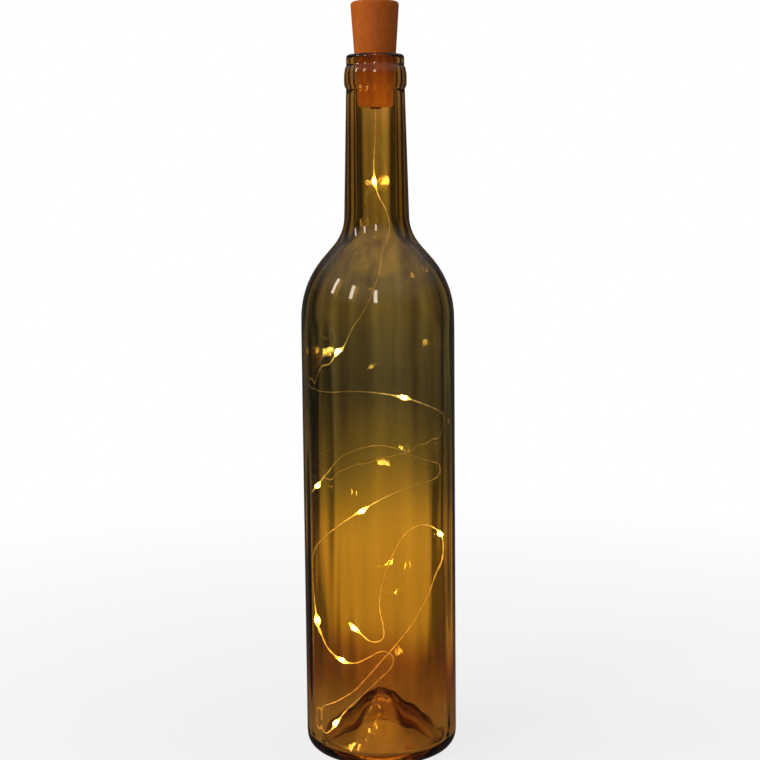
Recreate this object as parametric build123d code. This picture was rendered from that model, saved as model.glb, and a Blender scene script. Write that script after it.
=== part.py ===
from build123d import *
import math
import os

# Bottle light: a glass bottle closed by a tapered stopper. The stopper holds a pull-out battery
# tray with a slide switch, and a wire with ten lights hangs from it into the bottle.
# Millimetres, +Z up, origin at the centre of the bottle's base. The front faces -Y.

# Bottle
BOTTLE_HEIGHT = 334.3
BODY_DIAMETER = 73.0
BODY_HEIGHT = 211.0            # base to the start of the shoulder
BODY_WALL = 3.2
HEEL_RADIUS = 8.0
BEARING_WIDTH = 3.0            # flat ring that the bottle stands on
PUNT_RISE = 22.0               # push-up of the base, under the glass
PUNT_ROUND = 7.6               # rounding of the punt's tip
PUNT_GLASS = 5.8               # glass at that tip
VALLEY_RADIUS = 2.4            # inside corner between punt and wall
VALLEY_FLOOR = 6.1             # height of that corner's bottom
SHOULDER_RADIUS = 43.6
SHOULDER_ANGLE = 41.0          # steepest lean of the shoulder from upright
NECK_BLEND_RADIUS = 20.8
NECK_BLEND_INNER = 24.0
NECK_FOOT_DIAMETER = 30.8
NECK_TOP_DIAMETER = 27.6
RING_OVERHANG = 0.95           # how far the ring stands out from the neck
RING_HEIGHT = 9.2
RING_CROWN_SHARE = 0.4         # height of the ring's widest line, from its foot
RING_STEP = 0.5                # small steps below and above the ring
LIP_WALL = 3.8                 # glass between the bore and the outside of the lip
LIP_HEIGHT = 5.9               # lip band above the ring
BORE_DIAMETER = 19.6           # mouth, below the rounding
BORE_FOOT_DIAMETER = 20.0      # bore at the bottom of the neck
MOUTH_ROUND = 2.4

# Stopper shell
CORK_TOP_DIAMETER = 22.8
CORK_TAPER_ANGLE = 3.86        # lean of the side from upright
CORK_EDGE_RADIUS = 1.6
CORK_FOOT_CHAMFER = 0.8
CORK_FLOOR = 3.2
CAVITY_RADIUS = 5.0            # wiring space under the tray
WIRING_SPACE = 14.2            # height of that space
SEAT_CLEARANCE = 0.2           # stopper to mouth, all round
RUN_CLEARANCE = 0.3            # sliding pieces, each side

# Cells and tray, stacked down from the cap
CELL_DIAMETER = 11.6
CELL_HEIGHT = 5.4
CELL_COUNT = 3
CELL_EDGE_RADIUS = 0.35
CELL_LID_DIAMETER = 9.6
CELL_LID_HEIGHT = 0.35
CELL_PLAY = 0.2
TRAY_WALL = 1.2
TRAY_END = 1.0                 # partition and bottom wall
TRAY_GRIP_ANGLE = 200.0        # how far the trough reaches round the cells
CAP_DIAMETER = 18.4
CAP_THICKNESS = 2.2
CAP_RECESS = 1.5               # cap lies this far below the stopper's rim
CAP_EDGE_RADIUS = 0.35
NOTCH_RADIUS = 2.6             # two finger-nail notches in the cap's edge
NOTCH_DEPTH = 1.2

# Contacts
SHEET = 0.3                    # contact metal
CONTACT_BEND = 0.2             # bend radius at the middle of the sheet
STRIP_WIDTH = 2.4
STRIP_RECESS = 0.3             # strip behind the outside of the tray
GROOVE_PLAY = 0.15
LEAF_WIDTH = 4.0
SPRING_LENGTH = 7.0
SPRING_SPACE = 2.6             # height of the bowed leaf under the cells
SPRING_BEND = 0.6
PLATE_LENGTH = 7.0
PLATE_CORNER = 1.0
RIVET_DIAMETER = 1.6
CONTACT_GAP = 2.0              # tray to the floor of its bore, where the leaf contacts stand

# Switch and board
SWITCH_LENGTH = 8.6
SWITCH_WIDTH = 4.2
SWITCH_HEIGHT = 3.6
SWITCH_CORNER = 0.6
SWITCH_TRAVEL = 2.0
KNOB_LENGTH = 2.8
KNOB_WIDTH = 2.0
KNOB_RISE = 1.1                # above the cap
KNOB_FOOT = 1.2                # depth in the switch body
KNOB_EDGE_RADIUS = 0.3
KNOB_GROOVE = 0.3
KNOB_GROOVE_PITCH = 0.6
BOARD_THICKNESS = 1.0
RESISTOR_SIZE = (2.0, 1.25, 0.5)
RESISTOR_EDGE = 0.06

# Wire and lights
WIRE_DIAMETER = 0.6
GROMMET_HOLE = 3.2
GROMMET_FLANGE_DIAMETER = 5.0
GROMMET_FLANGE = 0.8
SLEEVE_DIAMETER = 2.6
SLEEVE_LENGTH = 7.0
SLEEVE_EDGE_RADIUS = 0.3
LEAD_DIAMETER = 0.8
LEAD_DROP = 1.0                # straight stretch at each end of a lead
BEAD_LENGTH = 6.5
BEAD_DIAMETER = 2.8
BEAD_FILM = 0.05               # resin round the wire at the tips of a drop
CHIP_SIZE = (1.6, 0.8, 0.7)

# Route of the light wire, from the splice in the stopper to the last light
ROUTE = [
    (0, 0, 317), (0, 0.5, 306), (-0.5, 3, 294), (-1.5, 5, 281), (0, 5, 269.5), (5, 4.5, 262),
    (7, 4.5, 255.5), (5, 5, 248.5), (2.5, 6, 241.5), (1, 9, 231.5), (-4, 15, 218), (-11.5, 21.5, 205),
    (-17, 25, 196.5), (-24, 20.5, 188), (-32.5, 5, 183), (-32, -9, 179), (-23.5, -23.5, 178),
    (-10, -31, 180), (6, -31, 178), (17, -27, 174.5), (27.5, -18.5, 168.5), (33, -3.5, 161.5),
    (31, 11.5, 152), (20, 23.5, 143.5), (4, 28.5, 138.5), (-12, 27, 135), (-26, 18.5, 131),
    (-32.5, 7, 126.5), (-32, -5.5, 127), (-24.5, -19, 138), (-18, -26.5, 149), (-2, -32, 155.5),
    (9, -30.5, 152.5), (17, -27, 148), (23.5, -21.5, 145), (27.5, -16.5, 143), (27.5, -16.5, 137.5),
    (23, -22, 135.5), (14.5, -28.5, 135), (5.5, -31.5, 131.5), (-2.5, -31.5, 127.5), (-13.5, -28.5, 120),
    (-24, -21.5, 111), (-31, -10.5, 100), (-31.5, -7, 85), (-30, -9, 72.5), (-28.5, -13, 60),
    (-22.5, -22.5, 52.5), (-13.5, -28.5, 49), (-5.5, -31, 53.5), (0.5, -31.5, 57.5), (6, -31, 54.5),
    (5, -31, 48.5), (-1, -31.5, 43), (-9, -30, 34.5), (-17, -26, 26), (-24.5, -19, 11.5),
    (-30, -8, 10.5), (-31.5, -0.5, 12), (-31, 0.5, 19), (-28.5, -8, 22.5), (-21.5, -18.5, 27.5),
    (-12, -26, 36), (-3.5, -28.5, 46.5), (4.5, -28, 56), (13, -26, 65.5), (20, -22.5, 77),
    (26.5, -17, 91), (30, -10, 97.5), (30.5, -7.5, 104.5), (26, -17.5, 112.5), (18.5, -26, 116.5),
    (11, -29.5, 112.5), (6, -31, 104), (1.5, -31.5, 92.5), (-1, -31.5, 79.5), (1.5, -31.5, 68),
    (1.5, -31.5, 62), (-4.5, -31, 60.5), (-9.5, -29.5, 65), (-14.5, -27.5, 69.5),
]
BEAD_RUNS = [3, 12, 18, 28, 40, 45, 47, 55, 69, 79]   # route points at which a light's run starts
BEND_SHARE = 0.45              # share of the shorter run that a bend may take

# Places worked out from the sizes above
body_radius = BODY_DIAMETER / 2
inner_radius = body_radius - BODY_WALL
bore_radius = BORE_DIAMETER / 2
lip_radius = bore_radius + LIP_WALL
lip_bottom = BOTTLE_HEIGHT - LIP_HEIGHT
ring_bottom = lip_bottom - RING_HEIGHT
bearing_outer = body_radius - HEEL_RADIUS
bearing_inner = bearing_outer - BEARING_WIDTH
cork_slope = math.tan(math.radians(CORK_TAPER_ANGLE))
cork_top_radius = CORK_TOP_DIAMETER / 2
seat_height = BOTTLE_HEIGHT - MOUTH_ROUND
cork_top = seat_height + (cork_top_radius - bore_radius + SEAT_CLEARANCE) / cork_slope
tray_inner = CELL_DIAMETER / 2 + CELL_PLAY
tray_outer = tray_inner + TRAY_WALL
bay_radius = tray_outer + RUN_CLEARANCE
cap_top = cork_top - CAP_RECESS
cap_bottom = cap_top - CAP_THICKNESS
board_top = cap_bottom - SWITCH_HEIGHT
board_bottom = board_top - BOARD_THICKNESS
partition_bottom = board_bottom - TRAY_END
stack_top = partition_bottom - SHEET
stack_bottom = stack_top - CELL_COUNT * CELL_HEIGHT
spring_floor = stack_bottom - SPRING_SPACE
tray_bottom = spring_floor - TRAY_END
pad_bottom = tray_bottom - SHEET
bay_floor = tray_bottom - CONTACT_GAP
cavity_floor = bay_floor - WIRING_SPACE
cork_bottom = cavity_floor - CORK_FLOOR
tail_bottom = bay_floor - CONTACT_GAP
tail_place = CAVITY_RADIUS - RUN_CLEARANCE - LEAD_DIAMETER / 2
strip_face = tray_outer - STRIP_RECESS - SHEET     # inner face of the feed strip


def turn_point(centre, radius, degrees):
    """Point of a circle in the (radius, height) plane."""
    angle = math.radians(degrees)
    return (centre[0] + radius * math.cos(angle), centre[1] + radius * math.sin(angle))


def turn_arc(centre, radius, start, end):
    """Arc in the (radius, height) plane, between two angles in degrees."""
    middle = (start + end) / 2
    return ThreePointArc(
        turn_point(centre, radius, start),
        turn_point(centre, radius, middle),
        turn_point(centre, radius, end),
    )


def revolved(edges):
    """Solid of revolution about Z from a closed chain of edges in the (radius, height) plane."""
    with BuildPart() as solid:
        with BuildSketch(Plane.XZ):
            with BuildLine():
                for edge in edges:
                    add(edge)
            make_face()
        revolve(axis=Axis.Z)
    return solid.part


def block(x, y, z):
    """Box between two limits along each axis."""
    size = (x[1] - x[0], y[1] - y[0], z[1] - z[0])
    middle = ((x[0] + x[1]) / 2, (y[0] + y[1]) / 2, (z[0] + z[1]) / 2)
    return Pos(*middle) * Box(*size)


def both_ways(half):
    """Limits at equal distances on both sides of an axis."""
    return (-half, half)


def upright(radius, low, high, y=0.0):
    """Round bar along Z between two heights."""
    return Pos(0, y, (low + high) / 2) * Cylinder(radius, high - low)


def bent_strip(points, width, bend):
    """Strip of contact metal: a path in the YZ plane, SHEET thick, with a width along X."""
    path = FilletPolyline(*[(0, y, z) for y, z in points], radius=bend)
    start = Plane(origin=path @ 0, x_dir=(1, 0, 0), z_dir=path % 0)
    return sweep(start * Rectangle(width, SHEET), path=path)


def shoulder(radius, wall_radius, neck_radius, blend):
    """Body to neck: an arc, a leaning line and the hollow arc into the neck. Gives edges and top."""
    centre = (wall_radius - radius, BODY_HEIGHT)
    lean = math.radians(SHOULDER_ANGLE)
    bend_end = turn_point(centre, radius, SHOULDER_ANGLE)
    blend_start_radius = neck_radius + blend * (1 - math.cos(lean))
    blend_start_height = bend_end[1] + (bend_end[0] - blend_start_radius) / math.tan(lean)
    top = blend_start_height + blend * math.sin(lean)
    edges = [
        turn_arc(centre, radius, 0, SHOULDER_ANGLE),
        Line(bend_end, (blend_start_radius, blend_start_height)),
        turn_arc((neck_radius + blend, top), blend, 180 + SHOULDER_ANGLE, 180),
    ]
    return edges, top


def make_bottle():
    """Glass bottle with punt, heel, shoulder, neck, ring and lip, turned from one half section.

    The one piece of glass is kept as two solids, body and neck, that meet at the foot of the neck:
    each is then simple enough for its collision to follow the bore.
    """
    neck_foot = NECK_FOOT_DIAMETER / 2
    neck_head = NECK_TOP_DIAMETER / 2
    bore_foot = BORE_FOOT_DIAMETER / 2
    ring_radius = neck_head + RING_OVERHANG
    ring_low = (ring_radius - RING_STEP, ring_bottom)
    ring_high = (lip_radius + RING_STEP, lip_bottom)
    ring_crown = (ring_radius, ring_bottom + RING_CROWN_SHARE * RING_HEIGHT)
    lip_round = LIP_WALL - MOUTH_ROUND
    lip_centre = (lip_radius - lip_round, BOTTLE_HEIGHT - lip_round)
    mouth_centre = (bore_radius + MOUTH_ROUND, seat_height)
    punt_centre = (0, PUNT_RISE - PUNT_ROUND)
    punt_reach = math.hypot(bearing_inner, punt_centre[1])
    punt_lean = math.atan2(punt_centre[1], bearing_inner) + math.asin(PUNT_ROUND / punt_reach)
    punt_side = 90 - math.degrees(punt_lean)
    dome_round = PUNT_ROUND + PUNT_GLASS
    valley_centre = (inner_radius - VALLEY_RADIUS, VALLEY_FLOOR + VALLEY_RADIUS)
    valley_rise = valley_centre[1] - punt_centre[1]
    dome_reach = math.hypot(valley_centre[0], valley_rise)
    dome_turn = math.acos((dome_round + VALLEY_RADIUS) / dome_reach)
    dome_side = math.degrees(math.atan2(valley_rise, valley_centre[0]) + dome_turn)
    dome_foot = turn_point(valley_centre, VALLEY_RADIUS, dome_side - 180)
    inner_bend = SHOULDER_RADIUS - BODY_WALL
    outer, neck_base = shoulder(SHOULDER_RADIUS, body_radius, neck_foot, NECK_BLEND_RADIUS)
    inner, bore_base = shoulder(inner_bend, inner_radius, bore_foot, NECK_BLEND_INNER)
    edges = [
        Line((bearing_inner, 0), (bearing_outer, 0)),
        turn_arc((bearing_outer, HEEL_RADIUS), HEEL_RADIUS, -90, 0),
        Line((body_radius, HEEL_RADIUS), (body_radius, BODY_HEIGHT)),
        *outer,
        Line((neck_foot, neck_base), (neck_head, ring_bottom - RING_STEP)),
        Line((neck_head, ring_bottom - RING_STEP), ring_low),
        ThreePointArc(ring_low, ring_crown, ring_high),
        Line(ring_high, (lip_radius, lip_bottom + RING_STEP)),
        Line((lip_radius, lip_bottom + RING_STEP), (lip_radius, lip_centre[1])),
        turn_arc(lip_centre, lip_round, 0, 90),
        turn_arc(mouth_centre, MOUTH_ROUND, 90, 180),
        Line((bore_radius, mouth_centre[1]), (bore_foot, bore_base)),
        *inner,
        Line((inner_radius, BODY_HEIGHT), (inner_radius, valley_centre[1])),
        turn_arc(valley_centre, VALLEY_RADIUS, 0, dome_side - 180),
        Line(dome_foot, turn_point(punt_centre, dome_round, dome_side)),
        turn_arc(punt_centre, dome_round, dome_side, 90),
        Line((0, PUNT_RISE + PUNT_GLASS), (0, PUNT_RISE)),
        turn_arc(punt_centre, PUNT_ROUND, 90, punt_side),
        Line(turn_point(punt_centre, PUNT_ROUND, punt_side), (bearing_inner, 0)),
    ]
    blend_start = neck_base - NECK_BLEND_RADIUS * math.sin(math.radians(SHOULDER_ANGLE))
    return split(revolved(edges), bisect_by=Plane.XY.offset(blend_start), keep=Keep.BOTH)


def make_cork_shell():
    """Tapered hollow stopper: cap seat, bore for the tray, wiring space and a floor with a hole."""
    foot_radius = cork_top_radius - cork_slope * (cork_top - cork_bottom)
    half_section = Polyline(
        (0, cork_bottom), (foot_radius, cork_bottom), (cork_top_radius, cork_top), (0, cork_top), close=True
    )
    cone = revolved([half_section])
    cone = fillet(cone.edges().group_by(Axis.Z)[-1], CORK_EDGE_RADIUS)
    cone = chamfer(cone.edges().group_by(Axis.Z)[0], CORK_FOOT_CHAMFER)
    hollow = upright(CAP_DIAMETER / 2 + RUN_CLEARANCE, cap_bottom, cork_top)
    hollow += upright(bay_radius, bay_floor, cap_bottom)
    hollow += upright(CAVITY_RADIUS, cavity_floor, bay_floor)
    hollow += upright(GROMMET_HOLE / 2, cork_bottom, cavity_floor)
    return cone - hollow


def make_grommet():
    """Soft bush in the stopper's floor, with a flange below, where the wire comes out."""
    flange_bottom = cork_bottom - GROMMET_FLANGE
    bush = upright(GROMMET_HOLE / 2, cork_bottom, cavity_floor)
    bush += upright(GROMMET_FLANGE_DIAMETER / 2, flange_bottom, cork_bottom)
    bush = fillet(bush.edges().group_by(Axis.Z)[0], GROMMET_FLANGE / 2)
    return bush - upright(WIRE_DIAMETER / 2, flange_bottom, cavity_floor)


def make_splice_sleeve():
    """Shrunk sleeve over the joint between the leads and the light wire, standing on the grommet."""
    sleeve = upright(SLEEVE_DIAMETER / 2, cavity_floor, cavity_floor + SLEEVE_LENGTH)
    return fillet(sleeve.edges().group_by(Axis.Z)[-1], SLEEVE_EDGE_RADIUS)


def make_shell_contacts():
    """Two leaf contacts fixed to the floor of the tray's bore, with tails for the leads."""
    foot = bay_floor + SHEET / 2
    crest = pad_bottom - RUN_CLEARANCE - SHEET / 2
    outside = bay_radius - RUN_CLEARANCE
    leaves = []
    for side, reach in ((1, tail_place), (-1, -RIVET_DIAMETER)):
        tail = [(tail_place, tail_bottom), (tail_place, foot)]
        leaf = [(outside, foot), (outside - SHEET, crest), (reach, crest)]
        leaves.append(bent_strip([(side * y, z) for y, z in tail + leaf], STRIP_WIDTH, CONTACT_BEND))
    return leaves


def make_contact_leads():
    """Two short insulated leads from the contacts' tails down to the splice."""
    sleeve_top = cavity_floor + SLEEVE_LENGTH
    leads = []
    for side in (1, -1):
        path = FilletPolyline(
            (0, side * tail_place, tail_bottom),
            (0, side * tail_place, tail_bottom - LEAD_DROP),
            (0, side * LEAD_DIAMETER / 2, sleeve_top + LEAD_DROP),
            (0, side * LEAD_DIAMETER / 2, sleeve_top),
            radius=LEAD_DIAMETER,
        )
        section = Plane(origin=path @ 0, z_dir=path % 0) * Circle(LEAD_DIAMETER / 2)
        leads.append(sweep(section, path=path))
    return Compound(children=leads)


def make_battery_tray():
    """Open trough for the cells, with a partition under the board, a bottom wall and a strip groove."""
    half_mouth = math.radians((360 - TRAY_GRIP_ANGLE) / 2)
    reach = 2 * tray_outer
    side = reach * math.sin(half_mouth)
    front = -reach * math.cos(half_mouth)
    mouth = Polyline(
        (0, 0), (side, front), (reach, -reach), (-reach, -reach), (-side, front), close=True
    )
    wall = upright(tray_outer, tray_bottom, cap_bottom) - upright(tray_inner, tray_bottom, cap_bottom)
    wall -= Pos(0, 0, tray_bottom) * extrude(make_face(mouth), cap_bottom - tray_bottom)
    tray = wall + upright(tray_inner, partition_bottom, board_bottom)
    tray += upright(tray_inner, tray_bottom, spring_floor)
    groove = both_ways(STRIP_WIDTH / 2 + GROOVE_PLAY)
    tray -= block(groove, (strip_face - GROOVE_PLAY, tray_outer), (tray_bottom, cap_bottom))
    tray -= block(groove, (0, tray_outer), (board_bottom, board_top))
    tray -= upright(RIVET_DIAMETER / 2, partition_bottom, board_bottom)
    tray -= upright(RIVET_DIAMETER / 2, tray_bottom, spring_floor)
    return tray


def make_switch_cap():
    """Round cap that closes the stopper, with the switch slot and two finger-nail notches."""
    cap = upright(CAP_DIAMETER / 2, cap_bottom, cap_top)
    cap = fillet(cap.edges().group_by(Axis.Z)[-1], CAP_EDGE_RADIUS)
    slot_length = KNOB_LENGTH + SWITCH_TRAVEL + 2 * RUN_CLEARANCE
    slot_width = KNOB_WIDTH + 2 * RUN_CLEARANCE
    slot = RectangleRounded(slot_length, slot_width, RUN_CLEARANCE)
    cap -= Pos(0, 0, cap_bottom) * extrude(slot, CAP_THICKNESS)
    for side in (1, -1):
        cap -= upright(NOTCH_RADIUS, cap_top - NOTCH_DEPTH, cap_top, side * CAP_DIAMETER / 2)
    return cap


def make_switch():
    """Slide switch under the cap: its pressed body, and the knob at its rest, switched on."""
    body = block(both_ways(SWITCH_LENGTH / 2), both_ways(SWITCH_WIDTH / 2), (board_top, cap_bottom))
    body = fillet(body.edges().filter_by(Axis.Z), SWITCH_CORNER)
    run = (KNOB_LENGTH + SWITCH_TRAVEL) / 2
    pocket_bottom = cap_bottom - KNOB_FOOT - RUN_CLEARANCE
    pocket_width = KNOB_WIDTH / 2 + RUN_CLEARANCE
    body -= block(both_ways(run + RUN_CLEARANCE), both_ways(pocket_width), (pocket_bottom, cap_bottom))
    knob_top = cap_top + KNOB_RISE
    knob_end = KNOB_LENGTH - run
    knob = block((-run, knob_end), both_ways(KNOB_WIDTH / 2), (cap_bottom - KNOB_FOOT, knob_top))
    knob = fillet(knob.edges().group_by(Axis.Z)[-1], KNOB_EDGE_RADIUS)
    for step in (-1, 0, 1):
        middle = KNOB_LENGTH / 2 - run + step * KNOB_GROOVE_PITCH
        groove = (middle - KNOB_GROOVE / 2, middle + KNOB_GROOVE / 2)
        knob -= block(groove, both_ways(KNOB_WIDTH / 2), (knob_top - KNOB_GROOVE, knob_top))
    return body, knob


def make_circuit_board():
    """Round board with a tongue that reaches the feed strip through the tray's wall."""
    board = upright(tray_inner - CELL_PLAY, board_bottom, board_top)
    return board + block(both_ways(STRIP_WIDTH / 2), (0, strip_face), (board_bottom, board_top))


def make_resistor():
    """Chip resistor on the board, beside the switch."""
    length, width, height = RESISTOR_SIZE
    middle = (SWITCH_WIDTH / 2 + tray_inner) / 2
    across = (middle - width / 2, middle + width / 2)
    chip = block(both_ways(length / 2), across, (board_top, board_top + height))
    return fillet(chip.edges().filter_by(Axis.Y), RESISTOR_EDGE)


def make_cell(top):
    """Button cell: a can with rounded edges and a smaller lid on its lower, negative side."""
    can_bottom = top - CELL_HEIGHT + CELL_LID_HEIGHT
    can = upright(CELL_DIAMETER / 2, can_bottom, top)
    can = fillet(can.edges().filter_by(GeomType.CIRCLE), CELL_EDGE_RADIUS)
    return can + upright(CELL_LID_DIAMETER / 2, top - CELL_HEIGHT, can_bottom)


def make_positive_contact():
    """Plate above the cells, riveted through the partition to the board."""
    plate = block(both_ways(PLATE_LENGTH / 2), both_ways(LEAF_WIDTH / 2), (stack_top, partition_bottom))
    plate = fillet(plate.edges().filter_by(Axis.Z), PLATE_CORNER)
    return plate + upright(RIVET_DIAMETER / 2, partition_bottom, board_bottom)


def make_feed_strip():
    """Strip in the tray's groove, from the board's tongue down and under the tray."""
    back = strip_face + SHEET / 2
    low = tray_bottom - SHEET / 2
    return bent_strip([(back, board_top), (back, low), (tail_place, low)], STRIP_WIDTH, CONTACT_BEND)


def make_negative_spring():
    """Bowed leaf under the lowest cell, riveted through the tray's bottom wall."""
    half = SPRING_LENGTH / 2
    low = spring_floor + SHEET / 2
    high = stack_bottom - SHEET / 2
    bow = [(half, low), (-half, low), (-half, (low + high) / 2), (-half / 3, high), (half / 2, high)]
    leaf = bent_strip(bow, LEAF_WIDTH, SPRING_BEND)
    return leaf + upright(RIVET_DIAMETER / 2, pad_bottom, spring_floor)


def make_light_wire():
    """Wire along its route, each bend as wide as its runs allow. Prints the bends and the volume."""
    points = [Vector(*point) for point in ROUTE]
    radii = []
    for before, here, after in zip(points, points[1:], points[2:]):
        turn = (here - before).get_angle(after - here)
        shorter = min((here - before).length, (after - here).length)
        radii.append(BEND_SHARE * shorter / math.tan(math.radians(turn / 2)))
    path = FilletPolyline(*points, radius=radii)
    section = Plane(origin=path @ 0, z_dir=path % 0) * Circle(WIRE_DIAMETER / 2)
    wire = sweep(section, path=path)
    expected = math.pi * (WIRE_DIAMETER / 2) ** 2 * path.length
    print("light wire: bend radii", [round(radius, 1) for radius in radii])
    print(f"light wire: length {path.length:.1f}, tightest bend {min(radii):.2f}")
    print(f"light wire: volume {wire.volume:.2f}, section times length {expected:.2f}")
    return wire


def bead_plane(run):
    """Plane at the middle of a run of the route, with Z along the wire."""
    start = Vector(*ROUTE[run])
    end = Vector(*ROUTE[run + 1])
    return Plane(origin=(start + end) * 0.5, z_dir=end - start)


def make_bead():
    """Clear resin drop round the wire, drawn out to a point at both ends."""
    half = BEAD_LENGTH / 2
    tip = WIRE_DIAMETER / 2 + BEAD_FILM
    return revolved([
        Line((0, -half), (tip, -half)),
        ThreePointArc((tip, -half), (BEAD_DIAMETER / 2, 0), (tip, half)),
        Line((tip, half), (0, half)),
        Line((0, half), (0, -half)),
    ])


def make_chip():
    """Light chip that lies against the wire, inside the drop."""
    length, width, height = CHIP_SIZE
    near = WIRE_DIAMETER / 2
    return block((near, near + height), both_ways(width / 2), both_ways(length / 2))


pieces = {
    "bottle": make_bottle(),
    "cork_shell": make_cork_shell(),
    "wire_grommet": make_grommet(),
    "splice_sleeve": make_splice_sleeve(),
    "contact_leads": make_contact_leads(),
    "battery_tray": make_battery_tray(),
    "switch_cap": make_switch_cap(),
    "circuit_board": make_circuit_board(),
    "resistor": make_resistor(),
    "positive_contact": make_positive_contact(),
    "feed_strip": make_feed_strip(),
    "negative_spring": make_negative_spring(),
    "light_wire": make_light_wire(),
}
pieces["shell_contact_positive"], pieces["shell_contact_negative"] = make_shell_contacts()
pieces["switch_body"], pieces["switch_knob"] = make_switch()
for number in range(CELL_COUNT):
    pieces[f"cell_{number + 1}"] = make_cell(stack_top - number * CELL_HEIGHT)
chips = []
for number, run in enumerate(BEAD_RUNS, start=1):
    place = bead_plane(run)
    pieces[f"led_bead_{number:02d}"] = place * make_bead()
    chips.append(place * make_chip())
pieces["led_chips"] = Compound(children=chips)

os.makedirs("parts", exist_ok=True)
for name, piece in pieces.items():
    export_step(piece, f"parts/{name}.step")
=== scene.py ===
import bpy
import math
from mathutils import Matrix, Vector


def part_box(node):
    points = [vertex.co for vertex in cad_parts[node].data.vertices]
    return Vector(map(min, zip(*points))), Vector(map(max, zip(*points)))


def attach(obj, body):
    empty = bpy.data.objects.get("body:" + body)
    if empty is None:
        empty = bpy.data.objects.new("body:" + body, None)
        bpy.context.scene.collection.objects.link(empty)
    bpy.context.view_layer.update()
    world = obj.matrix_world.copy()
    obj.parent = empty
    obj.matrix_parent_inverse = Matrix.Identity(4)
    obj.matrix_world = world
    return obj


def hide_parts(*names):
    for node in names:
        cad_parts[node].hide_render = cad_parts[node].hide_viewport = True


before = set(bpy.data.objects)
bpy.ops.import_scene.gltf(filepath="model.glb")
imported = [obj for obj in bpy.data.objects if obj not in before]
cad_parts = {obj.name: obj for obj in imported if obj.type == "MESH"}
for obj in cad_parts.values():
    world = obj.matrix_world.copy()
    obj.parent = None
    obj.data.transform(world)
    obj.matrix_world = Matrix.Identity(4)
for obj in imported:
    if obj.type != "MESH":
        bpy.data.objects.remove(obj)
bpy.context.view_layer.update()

# Bottle: blown glass, turned here from one half section and then given what a mould leaves: a
# stippled standing ring, two faint seams and an uneven inner wall. Its colour lies in the outer
# skin, by height, and deepens where the glass is thick.
bottle_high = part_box("bottle")[1]
body_radius = bottle_high.x
lip_top = bottle_high.z
body_top = 0.211
glass_wall = 0.0032
inner_radius = body_radius - glass_wall
heel_radius = 0.008
standing_outer = body_radius - heel_radius
standing_width = 0.003
standing_inner = standing_outer - standing_width
shoulder_radius = 0.0436
shoulder_lean = 41
neck_foot_radius = 0.0154
neck_head_radius = 0.0138
neck_blend = 0.0208
bore_radius = 0.0098
bore_foot_radius = 0.0100
bore_blend = 0.024
mouth_round = 0.0024
lip_radius = 0.0136
lip_height = 0.0059
lip_bottom = lip_top - lip_height
ring_radius = 0.01475
ring_height = 0.0092
ring_bottom = lip_bottom - ring_height
ring_step = 0.0005
ring_flat = 0.0001
ring_low_rise = 0.0012
ring_crown_rise = 0.0037
ring_high_rise = 0.0062
punt_rise = 0.022
punt_round = 0.0076
punt_glass = 0.0058
valley_radius = 0.0024
valley_floor = 0.0061
nipple_radius = 0.0036
nipple_height = 0.0009
nipple_curve = ((0.90, 0.0), (0.72, 0.65), (0.4, 0.95), (0.0, 1.0))
glass_turns = 192
seam_height = 0.00012
stipple_depth = 0.0006
stipple_inside = 0.0018
stipple_outside = 0.0022
stipple_top = 0.0020
wave_depth = 0.00030
wave_band = (0.97, 1.01)
merge_reach = 0.000002
facing_down = -0.1


def arc(centre, radius, start, end, steps):
    """Points of an arc in the (radius, height) half section, between two angles in degrees."""
    angles = [math.radians(start + (end - start) * step / steps) for step in range(steps + 1)]
    return [(centre[0] + radius * math.cos(a), centre[1] + radius * math.sin(a)) for a in angles]


def straight(start, end, steps):
    """Evenly spaced points between two points of the half section, without the ends."""
    shares = [step / steps for step in range(1, steps)]
    return [(start[0] + (end[0] - start[0]) * s, start[1] + (end[1] - start[1]) * s) for s in shares]


def shoulder(radius, wall, neck, blend):
    """Body to neck: the round of the shoulder, its leaning flank and the hollow round of the neck."""
    lean = math.radians(shoulder_lean)
    flank_low = (wall - radius * (1 - math.cos(lean)), body_top + radius * math.sin(lean))
    flank_high_radius = neck + blend * (1 - math.cos(lean))
    flank_high = flank_low[1] + (flank_low[0] - flank_high_radius) / math.tan(lean)
    neck_start = flank_high + blend * math.sin(lean)
    low = arc((wall - radius, body_top), radius, 0, shoulder_lean, 14)
    high = arc((neck + blend, neck_start), blend, 180 + shoulder_lean, 180, 10)
    return low + straight(low[-1], high[0], 4) + high


def turned(name, section, turns):
    """Half section drawn point by point from a merged plane, then spun round Z and closed."""
    bpy.ops.object.select_all(action="DESELECT")
    bpy.ops.mesh.primitive_plane_add(size=2 * body_radius)
    piece = bpy.context.object
    piece.name = name
    bpy.ops.object.mode_set(mode="EDIT")
    bpy.ops.mesh.select_all(action="SELECT")
    bpy.ops.mesh.merge(type="CENTER")
    bpy.ops.transform.translate(value=(section[0][0], 0, section[0][1]))
    for here, there in zip(section, section[1:]):
        step = (there[0] - here[0], 0, there[1] - here[1])
        bpy.ops.mesh.extrude_vertices_move(TRANSFORM_OT_translate={"value": step})
    bpy.ops.mesh.select_all(action="SELECT")
    bpy.ops.mesh.spin(steps=turns, angle=2 * math.pi, center=(0, 0, 0), axis=(0, 0, 1))
    bpy.ops.mesh.select_all(action="SELECT")
    bpy.ops.mesh.remove_doubles(threshold=merge_reach)
    bpy.ops.mesh.normals_make_consistent(inside=False)
    bpy.ops.object.mode_set(mode="OBJECT")
    bpy.ops.object.shade_smooth()
    return piece


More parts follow.
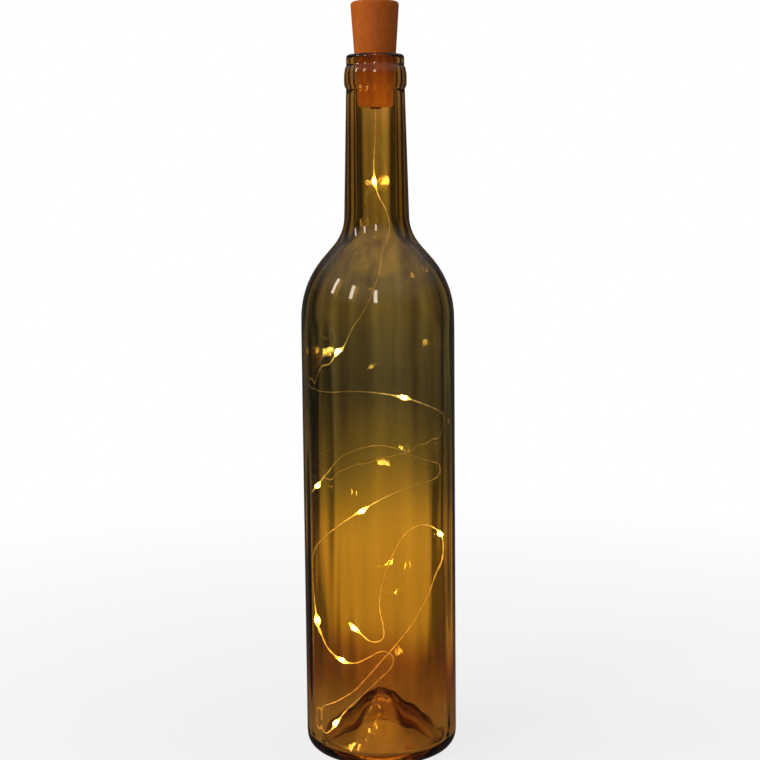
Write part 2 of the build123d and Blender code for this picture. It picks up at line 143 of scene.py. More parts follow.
punt_centre = (0, punt_rise - punt_round)
punt_reach = math.hypot(standing_inner, punt_centre[1])
punt_lean = math.atan2(punt_centre[1], standing_inner) + math.asin(punt_round / punt_reach)
punt_tip = arc(punt_centre, punt_round, 90, 90 - math.degrees(punt_lean), 12)
dome_round = punt_round + punt_glass
dome_top = punt_rise + punt_glass
valley_centre = (inner_radius - valley_radius, valley_floor + valley_radius)
valley_rise = valley_centre[1] - punt_centre[1]
dome_turn = math.acos((dome_round + valley_radius) / math.hypot(valley_centre[0], valley_rise))
dome_side = math.degrees(math.atan2(valley_rise, valley_centre[0]) + dome_turn)
nipple_side = math.degrees(math.acos(nipple_radius / dome_round))
valley = arc(valley_centre, valley_radius, 0, dome_side - 180, 10)
dome = arc(punt_centre, dome_round, dome_side, nipple_side, 10)
outer_shoulder = shoulder(shoulder_radius, body_radius, neck_foot_radius, neck_blend)
inner_shoulder = shoulder(shoulder_radius - glass_wall, inner_radius, bore_foot_radius, bore_blend)
neck_end = (neck_head_radius, ring_bottom - ring_step)
ring_low = (ring_radius - ring_step, ring_bottom)
ring_high = (lip_radius + ring_step, lip_bottom)
ring_crown = (ring_radius, ring_bottom + ring_crown_rise)
lip_foot = (lip_radius, lip_bottom + ring_step)
lip_round = lip_radius - bore_radius - mouth_round
lip_centre = (lip_radius - lip_round, lip_top - lip_round)
mouth_centre = (bore_radius + mouth_round, lip_top - mouth_round)
standing_ring = [(standing_inner, 0), *straight((standing_inner, 0), (standing_outer, 0), 4)]
heel = arc((standing_outer, heel_radius), heel_radius, -90, 0, 14)
mouth = arc(lip_centre, lip_round, 0, 90, 6) + arc(mouth_centre, mouth_round, 90, 180, 10)[1:]
nipple = [(nipple_radius * across, dome_top + nipple_height * up) for across, up in nipple_curve]
bottle_section = (
    punt_tip
    + straight(punt_tip[-1], (standing_inner, 0), 14)
    + standing_ring
    + heel
    + straight(heel[-1], outer_shoulder[0], 44)
    + outer_shoulder
    + straight(outer_shoulder[-1], neck_end, 18)
    + [neck_end, ring_low, (ring_radius - ring_flat, ring_bottom + ring_low_rise), ring_crown]
    + [(ring_radius - ring_flat, ring_bottom + ring_high_rise), ring_high, lip_foot]
    + straight(lip_foot, mouth[0], 3)
    + mouth
    + straight(mouth[-1], inner_shoulder[-1], 18)
    + inner_shoulder[::-1]
    + straight(inner_shoulder[0], (inner_radius, valley_centre[1]), 44)
    + valley
    + straight(valley[-1], dome[0], 14)
    + dome
    + nipple
)
bottle = turned("bottle_glass", bottle_section, glass_turns)


def glass_wave(angle, height):
    """Uneven thickness of blown glass: long waves up the wall and slow ones round it, from -1 to 1."""
    around = math.sin(7 * angle + 21 * height) + 0.7 * math.sin(13 * angle - 27 * height + 1.3)
    fine = 0.4 * math.sin(23 * angle + 9 * height + 0.6)
    along = 0.5 * math.sin(88 * height + 2 * angle)
    return (around + fine + along) / 2.6


for vertex in bottle.data.vertices:
    radius = math.hypot(vertex.co.x, vertex.co.y)
    angle = math.atan2(vertex.co.y, vertex.co.x)
    column = round(angle / (2 * math.pi) * glass_turns)
    outside = radius > body_radius - glass_wall / 2
    stippled = standing_inner - stipple_inside < radius < standing_outer + stipple_outside
    waved = inner_radius * wave_band[0] < radius < inner_radius * wave_band[1]
    if stippled and vertex.co.z < stipple_top:
        vertex.co.z += stipple_depth * (column % 2)
    elif outside and column % (glass_turns // 2) == 0 and heel_radius < vertex.co.z < body_top:
        vertex.co.x += math.copysign(seam_height, vertex.co.x)
    elif waved and valley_centre[1] < vertex.co.z < body_top:
        swell = 1 + wave_depth * glass_wave(angle, vertex.co.z) / radius
        vertex.co.x *= swell
        vertex.co.y *= swell
outer_skin = []
for vertex in bottle.data.vertices:
    radius = math.hypot(vertex.co.x, vertex.co.y)
    facing_out = vertex.normal.x * vertex.co.x + vertex.normal.y * vertex.co.y > 0
    if vertex.co.z < dome_top + 2 * nipple_height:
        facing_out = radius > body_radius - glass_wall / 2 or vertex.normal.z < facing_down
    outer_skin.append(float(facing_out))
bottle.data.attributes.new("outer_skin", "FLOAT", "POINT").data.foreach_set("value", outer_skin)


def new_finish(name):
    """Empty material with its node tree, its links and its main shader."""
    material = bpy.data.materials.new(name)
    material.use_nodes = True
    tree = material.node_tree
    return material, tree.nodes, tree.links, tree.nodes["Principled BSDF"]


def colour_ramp(nodes, stops):
    """Colour ramp with the given places and colours."""
    ramp = nodes.new("ShaderNodeValToRGB")
    marks = ramp.color_ramp.elements
    while len(marks) < len(stops):
        marks.new(0.5)
    for mark, (place, colour) in zip(marks, stops):
        mark.position = place
        mark.color = (*colour, 1)
    return ramp


tint_drift = 0.03
streak_scale = (95, 95, 4)
streak_low = 0.115
streak_high = 0.165
streak_least = 0.35
glass_index = 1.52
glass_shine = 0.36
depth_colour = (0.625, 0.417, 0.083, 1)
depth_density = 120.0
glass, nodes, links, shader = new_finish("tinted_glass")
where = nodes.new("ShaderNodeTexCoord")
axes = nodes.new("ShaderNodeSeparateXYZ")
links.new(where.outputs["Object"], axes.inputs["Vector"])
wander = nodes.new("ShaderNodeTexNoise")
wander.inputs["Scale"].default_value = 16
wander.inputs["Detail"].default_value = 1
links.new(where.outputs["Object"], wander.inputs["Vector"])
drift = nodes.new("ShaderNodeMapRange")
drift.inputs["To Min"].default_value = -tint_drift
drift.inputs["To Max"].default_value = tint_drift
links.new(wander.outputs["Fac"], drift.inputs["Value"])
drifted = nodes.new("ShaderNodeMath")
links.new(axes.outputs["Z"], drifted.inputs[0])
links.new(drift.outputs["Result"], drifted.inputs[1])
height_share = nodes.new("ShaderNodeMapRange")
height_share.inputs["From Max"].default_value = lip_top
links.new(drifted.outputs["Value"], height_share.inputs["Value"])
tint = colour_ramp(nodes, [
    (0.00, (0.74, 0.40, 0.070)), (0.06, (0.62, 0.29, 0.040)), (0.11, (0.44, 0.12, 0.011)),
    (0.19, (0.78, 0.38, 0.024)), (0.32, (0.82, 0.43, 0.031)), (0.42, (0.255, 0.174, 0.026)),
    (0.52, (0.122, 0.100, 0.033)), (0.60, (0.165, 0.137, 0.041)), (0.68, (0.24, 0.175, 0.038)),
    (0.74, (0.25, 0.165, 0.034)), (0.80, (0.40, 0.256, 0.035)), (0.90, (0.445, 0.268, 0.035)),
    (0.95, (0.80, 0.46, 0.110)),
])
tint.color_ramp.interpolation = "EASE"
links.new(height_share.outputs["Result"], tint.inputs["Fac"])
# Painted dark streaks: upright noise darkens the tint, most above the lower body, standing in for the
# dim room seen through the uneven glass.
upright = nodes.new("ShaderNodeMapping")
upright.inputs["Scale"].default_value = streak_scale
links.new(where.outputs["Object"], upright.inputs["Vector"])
streaks = nodes.new("ShaderNodeTexNoise")
streaks.inputs["Scale"].default_value = 1
streaks.inputs["Detail"].default_value = 3
links.new(upright.outputs["Vector"], streaks.inputs["Vector"])
streak_tones = colour_ramp(nodes, [(0.34, (0.31, 0.27, 0.22)), (0.62, (1.0, 1.0, 1.0))])
links.new(streaks.outputs["Fac"], streak_tones.inputs["Fac"])
streaked = nodes.new("ShaderNodeMix")
streaked.data_type = "RGBA"
streaked.blend_type = "MULTIPLY"
streak_share = nodes.new("ShaderNodeMapRange")
streak_share.inputs["From Min"].default_value = streak_low
streak_share.inputs["From Max"].default_value = streak_high
streak_share.inputs["To Min"].default_value = streak_least
links.new(axes.outputs["Z"], streak_share.inputs["Value"])
links.new(streak_share.outputs["Result"], streaked.inputs["Factor"])
links.new(tint.outputs["Color"], streaked.inputs["A"])
links.new(streak_tones.outputs["Color"], streaked.inputs["B"])
skin = nodes.new("ShaderNodeAttribute")
skin.attribute_name = "outer_skin"
coloured = nodes.new("ShaderNodeMix")
coloured.data_type = "RGBA"
coloured.inputs["A"].default_value = (1, 1, 1, 1)
links.new(skin.outputs["Fac"], coloured.inputs["Factor"])
links.new(streaked.outputs["Result"], coloured.inputs["B"])
links.new(coloured.outputs["Result"], shader.inputs["Base Color"])
shader.inputs["Transmission Weight"].default_value = 1.0
shader.inputs["Roughness"].default_value = 0.0
shader.inputs["IOR"].default_value = glass_index
shader.inputs["Specular IOR Level"].default_value = glass_shine
depth = nodes.new("ShaderNodeVolumeAbsorption")
depth.inputs["Color"].default_value = depth_colour
depth.inputs["Density"].default_value = depth_density
links.new(depth.outputs["Volume"], nodes["Material Output"].inputs["Volume"])
bottle.data.materials.append(glass)
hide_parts("bottle")
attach(bottle, "bottle")

# Stopper shell: one moulded plastic piece in cork brown, tapered to wedge in the mouth. Its satin
# skin has a faint mottle. Its colour is painted lighter towards its lower end, which hangs in the
# neck above the lights, and darker above the lip, and that lower end carries a painted warm glow.
painted_light_below = 0.014
painted_light_above = 0.003
painted_shade_top_tone = (0.76, 0.58, 0.40)
painted_glow_level = 0.33
painted_glow_colour = (1.0, 0.36, 0.02, 1)
satin_shine = 0.18
relief_depth = 0.0002
smoothest, roughest = 0.8, 1.25


def tones(nodes, links, dark, light, scale, stretch=(1, 1, 1)):
    """Two tones mixed by a noise on Object coordinates. Gives the mixed colour and the noise."""
    where = nodes.new("ShaderNodeTexCoord")
    turn = nodes.new("ShaderNodeMapping")
    turn.inputs["Scale"].default_value = stretch
    links.new(where.outputs["Object"], turn.inputs["Vector"])
    noise = nodes.new("ShaderNodeTexNoise")
    noise.inputs["Scale"].default_value = scale
    noise.inputs["Detail"].default_value = 5
    links.new(turn.outputs["Vector"], noise.inputs["Vector"])
    ramp = colour_ramp(nodes, [(0.32, dark), (0.68, light)])
    links.new(noise.outputs["Fac"], ramp.inputs["Fac"])
    return ramp.outputs["Color"], noise.outputs["Fac"]


def surface(name, dark, light, scale, roughness, bump=0.0, metallic=0.0, stretch=(1, 1, 1)):
    """Finish with two tones, and the same noise in its roughness and in its small relief."""
    material, nodes, links, shader = new_finish(name)
    colour, noise = tones(nodes, links, dark, light, scale, stretch)
    links.new(colour, shader.inputs["Base Color"])
    shine = nodes.new("ShaderNodeMapRange")
    shine.inputs["To Min"].default_value = roughness * smoothest
    shine.inputs["To Max"].default_value = min(1.0, roughness * roughest)
    links.new(noise, shine.inputs["Value"])
    links.new(shine.outputs["Result"], shader.inputs["Roughness"])
    shader.inputs["Metallic"].default_value = metallic
    relief = nodes.new("ShaderNodeBump")
    relief.inputs["Strength"].default_value = bump
    relief.inputs["Distance"].default_value = relief_depth
    links.new(noise, relief.inputs["Height"])
    links.new(relief.outputs["Normal"], shader.inputs["Normal"])
    return material


def dress(node, material):
    """Gives a CAD node its finish."""
    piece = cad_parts[node]
    piece.data.materials.clear()
    piece.data.materials.append(material)


cork_skin = surface("cork_brown_satin", (0.46, 0.130, 0.016), (0.54, 0.165, 0.024), 420, 0.48, 0.10)
nodes, links = cork_skin.node_tree.nodes, cork_skin.node_tree.links
shader = nodes["Principled BSDF"]
shader.inputs["Specular IOR Level"].default_value = satin_shine
where = nodes.new("ShaderNodeTexCoord")
axes = nodes.new("ShaderNodeSeparateXYZ")
links.new(where.outputs["Object"], axes.inputs["Vector"])
# Painted light and shade: the colour is lighter towards the lower end, near the lights, and darker above
# the lip.
height_share = nodes.new("ShaderNodeMapRange")
height_share.inputs["From Min"].default_value = lip_top - painted_light_below
height_share.inputs["From Max"].default_value = lip_top + painted_light_above
links.new(axes.outputs["Z"], height_share.inputs["Value"])
painted_light_ramp = colour_ramp(nodes, [(0.0, (1.0, 1.0, 1.0)), (1.0, painted_shade_top_tone)])
links.new(height_share.outputs["Result"], painted_light_ramp.inputs["Fac"])
painted_light_mix = nodes.new("ShaderNodeMix")
painted_light_mix.data_type = "RGBA"
painted_light_mix.blend_type = "MULTIPLY"
painted_light_mix.inputs["Factor"].default_value = 1.0
links.new(shader.inputs["Base Color"].links[0].from_socket, painted_light_mix.inputs["A"])
links.new(painted_light_ramp.outputs["Color"], painted_light_mix.inputs["B"])
links.new(painted_light_mix.outputs["Result"], shader.inputs["Base Color"])
# Painted glow: an emission, strongest at the lower end, stands in for the lights' warm light on it.
painted_glow_end = nodes.new("ShaderNodeMapRange")
painted_glow_end.inputs["From Min"].default_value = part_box("cork_shell")[0].z
painted_glow_end.inputs["From Max"].default_value = lip_top
painted_glow_end.inputs["To Min"].default_value = painted_glow_level
painted_glow_end.inputs["To Max"].default_value = 0.0
links.new(axes.outputs["Z"], painted_glow_end.inputs["Value"])
links.new(painted_glow_end.outputs["Result"], shader.inputs["Emission Strength"])
shader.inputs["Emission Color"].default_value = painted_glow_colour
dress("cork_shell", cork_skin)

# Wiring in the stopper: a soft grommet in its floor and in its own brown, a shrunk sleeve over the
# splice, two leads and two nickel-plated leaf contacts that the tray presses on.
for node, name, dark, light, scale, roughness, bump in (
    ("wire_grommet", "grommet_rubber", (0.26, 0.075, 0.012), (0.34, 0.105, 0.018), 900, 0.7, 0.2),
    ("splice_sleeve", "shrunk_sleeve", (0.012, 0.012, 0.013), (0.025, 0.025, 0.027), 1200, 0.5, 0.25),
    ("contact_leads", "lead_insulation", (0.38, 0.018, 0.012), (0.48, 0.028, 0.018), 900, 0.35, 0.0),
):
    dress(node, surface(name, dark, light, scale, roughness, bump))
nickel = surface(
    "nickel_sheet", (0.50, 0.47, 0.41), (0.66, 0.62, 0.55), 700, 0.28, 0.06, 0.6, (1, 1, 0.15),
)
for node in ("shell_contact_positive", "shell_contact_negative"):
    dress(node, nickel)

# Light wire: a pair of lacquered copper strands, lightly twisted, that runs down the neck and
# lies loosely round the inside of the glass from light to light. It carries a painted glow, an
# emission that is faint all along and brightest near each light.
route = [
    (0, 0, 317), (0, 0.5, 306), (-0.5, 3, 294), (-1.5, 5, 281), (0, 5, 269.5), (5, 4.5, 262),
    (7, 4.5, 255.5), (5, 5, 248.5), (2.5, 6, 241.5), (1, 9, 231.5), (-4, 15, 218), (-11.5, 21.5, 205),
    (-17, 25, 196.5), (-24, 20.5, 188), (-32.5, 5, 183), (-32, -9, 179), (-23.5, -23.5, 178),
    (-10, -31, 180), (6, -31, 178), (17, -27, 174.5), (27.5, -18.5, 168.5), (33, -3.5, 161.5),
    (31, 11.5, 152), (20, 23.5, 143.5), (4, 28.5, 138.5), (-12, 27, 135), (-26, 18.5, 131),
    (-32.5, 7, 126.5), (-32, -5.5, 127), (-24.5, -19, 138), (-18, -26.5, 149), (-2, -32, 155.5),
    (9, -30.5, 152.5), (17, -27, 148), (23.5, -21.5, 145), (27.5, -16.5, 143), (27.5, -16.5, 137.5),
    (23, -22, 135.5), (14.5, -28.5, 135), (5.5, -31.5, 131.5), (-2.5, -31.5, 127.5), (-13.5, -28.5, 120),
    (-24, -21.5, 111), (-31, -10.5, 100), (-31.5, -7, 85), (-30, -9, 72.5), (-28.5, -13, 60),
    (-22.5, -22.5, 52.5), (-13.5, -28.5, 49), (-5.5, -31, 53.5), (0.5, -31.5, 57.5), (6, -31, 54.5),
    (5, -31, 48.5), (-1, -31.5, 43), (-9, -30, 34.5), (-17, -26, 26), (-24.5, -19, 11.5),
    (-30, -8, 10.5), (-31.5, -0.5, 12), (-31, 0.5, 19), (-28.5, -8, 22.5), (-21.5, -18.5, 27.5),
    (-12, -26, 36), (-3.5, -28.5, 46.5), (4.5, -28, 56), (13, -26, 65.5), (20, -22.5, 77),
    (26.5, -17, 91), (30, -10, 97.5), (30.5, -7.5, 104.5), (26, -17.5, 112.5), (18.5, -26, 116.5),
    (11, -29.5, 112.5), (6, -31, 104), (1.5, -31.5, 92.5), (-1, -31.5, 79.5), (1.5, -31.5, 68),
    (1.5, -31.5, 62), (-4.5, -31, 60.5), (-9.5, -29.5, 65), (-14.5, -27.5, 69.5),
]
route = [Vector(point) / 1000 for point in route]
light_runs = [3, 12, 18, 28, 40, 45, 47, 55, 69, 79]
light_places = [(route[run] + route[run + 1]) / 2 for run in light_runs]
light_ways = [(route[run + 1] - route[run]).normalized() for run in light_runs]
strand_radius = 0.00014
strand_offset = 0.00015
strand_pitch = 0.011
strand_sides = 6
splay = 0.00030
splay_reach = 0.004
glow_reach = 0.0055
glow_least = 0.45
glow_most = 7.0


def smooth_line(points):
    """Points along the NURBS line that has the route's points as its control points."""
    line = bpy.data.curves.new("wire_route", "CURVE")
    line.dimensions = "3D"
    spline = line.splines.new("NURBS")
    spline.points.add(len(points) - 1)
    for place, point in zip(spline.points, points):
        place.co = (*point, 1)
    spline.order_u = 3
    spline.use_endpoint_u = True
    spline.resolution_u = 10
    holder = bpy.data.objects.new("wire_route", line)
    mesh = bpy.data.meshes.new_from_object(holder)
    places = [vertex.co.copy() for vertex in mesh.vertices]
    bpy.data.objects.remove(holder)
    bpy.data.meshes.remove(mesh)
    return places


wire_line = smooth_line(route)
corners = []
faces = []
glow = []
for strand in (0, 1):
    side = Vector((1, 0, 0))
    run = 0.0
    for number, place in enumerate(wire_line):
        ahead = wire_line[min(number + 1, len(wire_line) - 1)]
        behind = wire_line[max(number - 1, 0)]
        way = (ahead - behind).normalized()
        side = (side - way * side.dot(way)).normalized()
        run += (place - behind).length
        twist = 2 * math.pi * run / strand_pitch + math.pi * strand
        nearest = min((place - light).length for light in light_places)
        apart = strand_offset + splay * math.exp(-(nearest / splay_reach) ** 2)
        centre = place + Matrix.Rotation(twist, 3, way) @ side * apart
        for step in range(strand_sides):
            turn = Matrix.Rotation(2 * math.pi * step / strand_sides, 3, way)
            corners.append(centre + turn @ side * strand_radius)
            glow.append(math.exp(-nearest / glow_reach))
    first = strand * len(wire_line) * strand_sides
    for number in range(len(wire_line) - 1):
        for step in range(strand_sides):
            low = first + number * strand_sides
            beside = (step + 1) % strand_sides
            high = low + strand_sides
            faces.append((low + step, low + beside, high + beside, high + step))
    last = first + (len(wire_line) - 1) * strand_sides
    faces.append(tuple(first + step for step in reversed(range(strand_sides))))
    faces.append(tuple(last + step for step in range(strand_sides)))
wire_mesh = bpy.data.meshes.new("light_strands")
wire_mesh.from_pydata(corners, [], faces)
wire_mesh.polygons.foreach_set("use_smooth", [True] * len(wire_mesh.polygons))
wire_mesh.attributes.new("glow", "FLOAT", "POINT").data.foreach_set("value", glow)
light_wire = bpy.data.objects.new("light_strands", wire_mesh)
bpy.context.scene.collection.objects.link(light_wire)

copper, nodes, links, shader = new_finish("lacquered_copper")
colour, _ = tones(nodes, links, (0.62, 0.30, 0.09), (0.86, 0.52, 0.20), 300)
links.new(colour, shader.inputs["Base Color"])
shader.inputs["Metallic"].default_value = 0.6
shader.inputs["Roughness"].default_value = 0.35
# Painted glow: the emission, faint all along and brightest near each light, stands in for the light the
# lights throw on the wire.
near_light = nodes.new("ShaderNodeAttribute")
near_light.attribute_name = "glow"
lit = nodes.new("ShaderNodeMapRange")
lit.inputs["To Min"].default_value = glow_least
lit.inputs["To Max"].default_value = glow_most
links.new(near_light.outputs["Fac"], lit.inputs["Value"])
links.new(lit.outputs["Result"], shader.inputs["Emission Strength"])
shader.inputs["Emission Color"].default_value = (1.0, 0.82, 0.36, 1)
light_wire.data.materials.append(copper)
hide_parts("light_wire")
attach(light_wire, "stopper")

# Lights: a small lit chip against the wire, sealed in a drop of clear resin that sagged a little
# to one side before it set and runs out to a point along the wire at both ends.
chip_level = 200.0
resin_least = 2.4
resin_most = 150.0
chip_glow, nodes, links, shader = new_finish("lit_chip")
colour, _ = tones(nodes, links, (1.0, 0.80, 0.40), (1.0, 0.90, 0.58), 2500)
links.new(colour, shader.inputs["Base Color"])
links.new(colour, shader.inputs["Emission Color"])
shader.inputs["Emission Strength"].default_value = chip_level
dress("led_chips", chip_glow)

resin, nodes, links, shader = new_finish("lit_resin")
colour, _ = tones(nodes, links, (1.0, 0.86, 0.44), (1.0, 0.93, 0.62), 1500)
links.new(colour, shader.inputs["Base Color"])
shader.inputs["Transmission Weight"].default_value = 1.0
shader.inputs["Roughness"].default_value = 0.22
shader.inputs["IOR"].default_value = 1.5
heart = nodes.new("ShaderNodeAttribute")
heart.attribute_name = "heart"
shine = nodes.new("ShaderNodeMapRange")
shine.inputs["To Min"].default_value = resin_least
shine.inputs["To Max"].default_value = resin_most
links.new(heart.outputs["Fac"], shine.inputs["Value"])
links.new(shine.outputs["Result"], shader.inputs["Emission Strength"])
warmth = colour_ramp(nodes, [
    (0.0, (1.0, 0.78, 0.18)), (0.5, (1.0, 0.88, 0.38)), (1.0, (1.0, 0.94, 0.56)),
])
links.new(heart.outputs["Fac"], warmth.inputs["Fac"])
links.new(warmth.outputs["Color"], shader.inputs["Emission Color"])

drop_length = 0.0065
drop_radius = 0.00100
drop_sag = 0.00042
tip_radius = 0.00034
drop_segments = 24
drop_rings = 20
heart_reach = 0.8
heart_fall = 2.6
swell_start, swell_end = 1.6, 1.35
sag_start, sag_end = 1.2, 1.5
pole_ease = 3
chip_corners = [vertex.co.copy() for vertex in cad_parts["led_chips"].data.vertices]
for number, (place, way) in enumerate(zip(light_places, light_ways), start=1):
    bpy.ops.object.select_all(action="DESELECT")
    bpy.ops.mesh.primitive_uv_sphere_add(segments=drop_segments, ring_count=drop_rings, radius=1)
    drop = bpy.context.object
    drop.name = f"resin_drop_{number:02d}"
    chip = [corner - place for corner in chip_corners if (corner - place).length < drop_length / 2]
    side = sum(chip, Vector()) / len(chip)
    side = (side - way * side.dot(way)).normalized()
    across = way.cross(side)
    heights = [abs(vertex.co.z) for vertex in drop.data.vertices]
    hearts = [max(0.0, 1 - height / heart_reach) ** heart_fall for height in heights]
    drop.data.attributes.new("heart", "FLOAT", "POINT").data.foreach_set("value", hearts)
    for vertex in drop.data.vertices:
        along = vertex.co.z
        round_x, round_y = vertex.co.x, vertex.co.y
        spread = math.hypot(round_x, round_y)
        swell = (1 - abs(along) ** swell_start) ** swell_end
        swell = tip_radius + (drop_radius - tip_radius) * swell
        swell *= min(1.0, spread * pole_ease)
        if spread > 0:
            round_x, round_y = round_x / spread * swell, round_y / spread * swell
        round_x += drop_sag * (1 - abs(along) ** sag_start) ** sag_end
        vertex.co = place + way * along * drop_length / 2 + side * round_x + across * round_y
    bpy.ops.object.mode_set(mode="EDIT")
    bpy.ops.mesh.select_all(action="SELECT")
    bpy.ops.mesh.normals_make_consistent(inside=False)
    bpy.ops.object.mode_set(mode="OBJECT")
    bpy.ops.object.shade_smooth()
    drop.data.materials.append(resin)
    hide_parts(f"led_bead_{number:02d}")
    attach(drop, "stopper")

# Battery tray: a moulded trough that pulls out with the cap, three plated cells in a stack,
# the plate above them, the bowed leaf below and the strip up the tray's back.
tray_plastic = surface("tray_plastic", (0.56, 0.52, 0.44), (0.66, 0.62, 0.54), 600, 0.5, 0.12)
cell_steel = surface(
    "cell_steel", (0.62, 0.62, 0.63), (0.76, 0.76, 0.76), 500, 0.34, 0.05, 0.55, (1, 1, 6),
)
dress("battery_tray", tray_plastic)
for node in ("cell_1", "cell_2", "cell_3"):
    dress(node, cell_steel)
for node in ("positive_contact", "feed_strip", "negative_spring"):
    dress(node, nickel)

# Switch and cap: a green board with a chip resistor and a tinned switch body, under a cap of the
# stopper's own colour that has a slot for the ridged knob and two notches for finger nails.
for node, name, dark, light, scale, roughness, bump, metallic in (
    ("circuit_board", "board_lacquer", (0.012, 0.085, 0.030), (0.020, 0.13, 0.050), 500, 0.3, 0.1, 0.0),
    ("resistor", "resistor_body", (0.012, 0.012, 0.014), (0.03, 0.03, 0.032), 1500, 0.45, 0.0, 0.0),
    ("switch_body", "tinned_steel", (0.45, 0.45, 0.46), (0.60, 0.60, 0.60), 800, 0.32, 0.06, 0.6),
    ("switch_cap", "cap_brown_satin", (0.25, 0.060, 0.008), (0.34, 0.088, 0.012), 420, 0.46, 0.1, 0.0),
    ("switch_knob", "knob_black", (0.012, 0.012, 0.012), (0.03, 0.03, 0.03), 900, 0.42, 0.15, 0.0),
):
    dress(node, surface(name, dark, light, scale, roughness, bump, metallic))

# Studio: a pale floor that keeps the shadow. Through the glass show eight white walls with dim gaps
# and a bright ceiling, and reflections are dim but for what is overhead. Two key lamps and a weak
# fill leave no reflection, and three small warm lamps make the glints.
floor_size = 6.0
floor_grey = (0.42, 0.42, 0.42, 1)
floor_roughness = 0.9
white_start, white_end, white_least = 0.05, 0.6, 0.80
walls_start, walls_end = 0.06, 0.20
foot_level = 0.6
wall_count = 8
gap_start, gap_end, gap_level = -0.45, 0.35, 0.10
side_reflection = 0.05
high_start, high_end, high_reflection = 0.25, 0.60, 0.40
ceiling_start, ceiling_end, ceiling_level = 0.80, 0.90, 9.0
soft_level = 0.26
bpy.ops.object.select_all(action="DESELECT")
bpy.ops.mesh.primitive_plane_add(size=floor_size)
floor = bpy.context.object
floor.name = "floor"
floor_paint, nodes, links, shader = new_finish("pale_floor")
shader.inputs["Base Color"].default_value = floor_grey
shader.inputs["Roughness"].default_value = floor_roughness
white = nodes.new("ShaderNodeEmission")
rays = nodes.new("ShaderNodeLightPath")
where = nodes.new("ShaderNodeTexCoord")
reach = nodes.new("ShaderNodeVectorMath")
reach.operation = "LENGTH"
links.new(where.outputs["Object"], reach.inputs[0])
whiter = nodes.new("ShaderNodeMapRange")
whiter.inputs["From Min"].default_value = white_start
whiter.inputs["From Max"].default_value = white_end
whiter.inputs["To Min"].default_value = white_least
links.new(reach.outputs["Value"], whiter.inputs["Value"])
beyond = nodes.new("ShaderNodeMapRange")
beyond.inputs["From Min"].default_value = walls_start
beyond.inputs["From Max"].default_value = walls_end
links.new(reach.outputs["Value"], beyond.inputs["Value"])


def by_ray(kind, no, yes):
    """One of two levels, by the kind of ray that looks."""
    mix = nodes.new("ShaderNodeMix")
    links.new(rays.outputs[kind], mix.inputs["Factor"])
    for socket, level in (("A", no), ("B", yes)):
        if isinstance(level, float):
            mix.inputs[socket].default_value = level
        else:
            links.new(level, mix.inputs[socket])
    return mix.outputs["Result"]


def white_walls(way):
    """Brightness in a direction: eight white walls round the set, with dim gaps between them."""
    axes = nodes.new("ShaderNodeSeparateXYZ")
    links.new(way, axes.inputs["Vector"])
    turn = nodes.new("ShaderNodeMath")
    turn.operation = "ARCTAN2"
    links.new(axes.outputs["Y"], turn.inputs[0])
    links.new(axes.outputs["X"], turn.inputs[1])
    eightfold = nodes.new("ShaderNodeMath")
    eightfold.operation = "MULTIPLY"
    eightfold.inputs[1].default_value = wall_count
    links.new(turn.outputs["Value"], eightfold.inputs[0])
    wave = nodes.new("ShaderNodeMath")
    wave.operation = "COSINE"
    links.new(eightfold.outputs["Value"], wave.inputs[0])
    level = nodes.new("ShaderNodeMapRange")
    level.inputs["From Min"].default_value = gap_start
    level.inputs["From Max"].default_value = gap_end
    level.inputs["To Min"].default_value = gap_level
    links.new(wave.outputs["Value"], level.inputs["Value"])
    return level.outputs["Result"]


level = by_ray("Is Glossy Ray", 1.0, side_reflection)
spread = nodes.new("ShaderNodeMix")
links.new(beyond.outputs["Result"], spread.inputs["Factor"])
spread.inputs["A"].default_value = foot_level
links.new(white_walls(where.outputs["Object"]), spread.inputs["B"])
links.new(by_ray("Is Transmission Ray", level, spread.outputs["Result"]), white.inputs["Strength"])
share = by_ray("Is Camera Ray", 0.0, whiter.outputs["Result"])
share = by_ray("Is Glossy Ray", share, 1.0)
share = by_ray("Is Transmission Ray", share, whiter.outputs["Result"])
mixed = nodes.new("ShaderNodeMixShader")
links.new(share, mixed.inputs["Fac"])
links.new(shader.outputs["BSDF"], mixed.inputs[1])
links.new(white.outputs["Emission"], mixed.inputs[2])
links.new(mixed.outputs["Shader"], nodes["Material Output"].inputs["Surface"])
floor.data.materials.append(floor_paint)

scene = bpy.context.scene
world = bpy.data.worlds.new("studio")
scene.world = world
world.use_nodes = True
nodes = world.node_tree.nodes
links = world.node_tree.links
surround = nodes["Background"]
rays = nodes.new("ShaderNodeLightPath")
where = nodes.new("ShaderNodeTexCoord")
axes = nodes.new("ShaderNodeSeparateXYZ")
links.new(where.outputs["Generated"], axes.inputs["Vector"])
ceiling = nodes.new("ShaderNodeMapRange")
ceiling.inputs["From Min"].default_value = ceiling_start
ceiling.inputs["From Max"].default_value = ceiling_end
ceiling.inputs["To Max"].default_value = ceiling_level
links.new(axes.outputs["Z"], ceiling.inputs["Value"])
walls_and_ceiling = nodes.new("ShaderNodeMath")
links.new(white_walls(where.outputs["Generated"]), walls_and_ceiling.inputs[0])
links.new(ceiling.outputs["Result"], walls_and_ceiling.inputs[1])
overhead = nodes.new("ShaderNodeMapRange")
overhead.inputs["From Min"].default_value = high_start
overhead.inputs["From Max"].default_value = high_end
overhead.inputs["To Min"].default_value = side_reflection
overhead.inputs["To Max"].default_value = high_reflection
links.new(axes.outputs["Z"], overhead.inputs["Value"])
level = by_ray("Is Glossy Ray", soft_level, overhead.outputs["Result"])
level = by_ray("Is Transmission Ray", level, walls_and_ceiling.outputs["Value"])
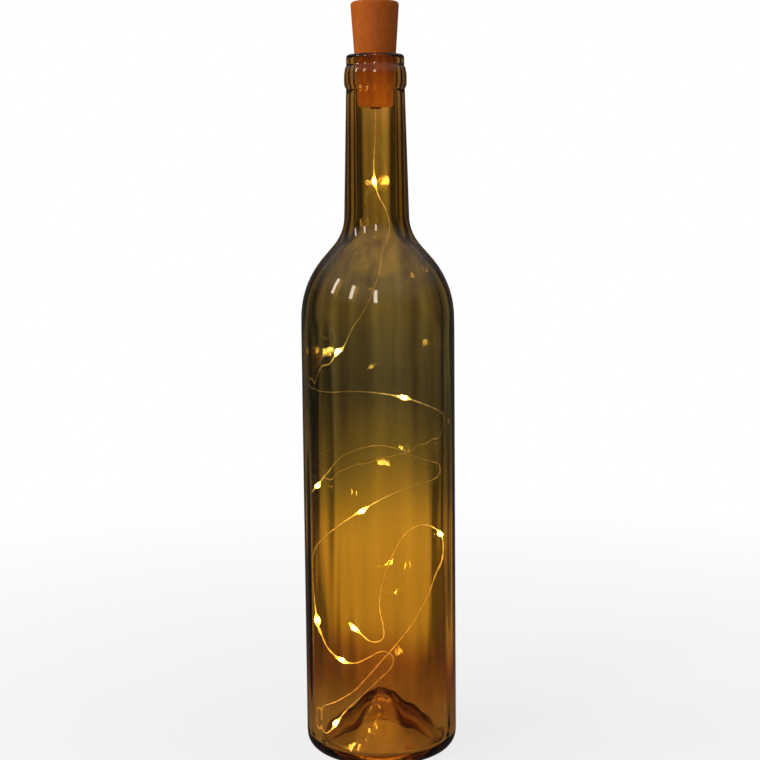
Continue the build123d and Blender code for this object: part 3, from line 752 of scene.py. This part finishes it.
links.new(by_ray("Is Camera Ray", level, 1.0), surround.inputs["Strength"])
surround.inputs["Color"].default_value = (1, 1, 1, 1)

middle = Vector((0, 0, 0.23))
lamp_distance = 1.5
lamp_size = (0.30, 0.50)
lamps = (("key_side", -80, 31, 8), ("key_front", -44, 31, 8), ("fill", 70, 35, 2.0))
glint_distance = 1.3
glint_size = (0.11, 0.36)
glint_power = 1.5
glint_colour = (1.0, 0.90, 0.78)
glints = ((-80, 31), (-44, 31), (-3, 28))


def hang_lamp(name, turn, rise, distance, size, power):
    """Soft lamp hung round the object: turned from the camera's side, raised, and aimed at it."""
    turn, rise = math.radians(turn), math.radians(rise)
    way = Vector((math.sin(turn) * math.cos(rise), -math.cos(turn) * math.cos(rise), math.sin(rise)))
    place = middle + way * distance
    lamp = bpy.data.lights.new(name, "AREA")
    lamp.shape = "RECTANGLE"
    lamp.size, lamp.size_y = size
    lamp.energy = power
    holder = bpy.data.objects.new(name, lamp)
    holder.location = place
    holder.rotation_euler = (middle - place).to_track_quat("-Z", "Y").to_euler()
    scene.collection.objects.link(holder)
    return holder


for name, turn, rise, power in lamps:
    hang_lamp(name, turn, rise, lamp_distance, lamp_size, power).visible_glossy = False
for number, (turn, rise) in enumerate(glints, start=1):
    glint = hang_lamp(f"glint_{number}", turn, rise, glint_distance, glint_size, glint_power)
    glint.data.color = glint_colour

# Camera: at the photograph's height and distance, tipped down and very slightly rolled.
camera_distance = 0.734
camera_height = 0.271
camera_side = 0.0008
camera_pitch = math.radians(7)
camera_roll = math.radians(-0.56)
picture_width = 760
focal_pixels = 1540
lens = bpy.data.cameras.new("camera")
lens.sensor_width = 36
lens.lens = focal_pixels / picture_width * lens.sensor_width
camera = bpy.data.objects.new("camera", lens)
camera.location = (camera_side, -camera_distance, camera_height)
tip = Matrix.Rotation(math.pi / 2 - camera_pitch, 4, "X") @ Matrix.Rotation(camera_roll, 4, "Z")
camera.rotation_euler = tip.to_euler()
scene.collection.objects.link(camera)
scene.camera = camera
scene.view_settings.view_transform = "Standard"
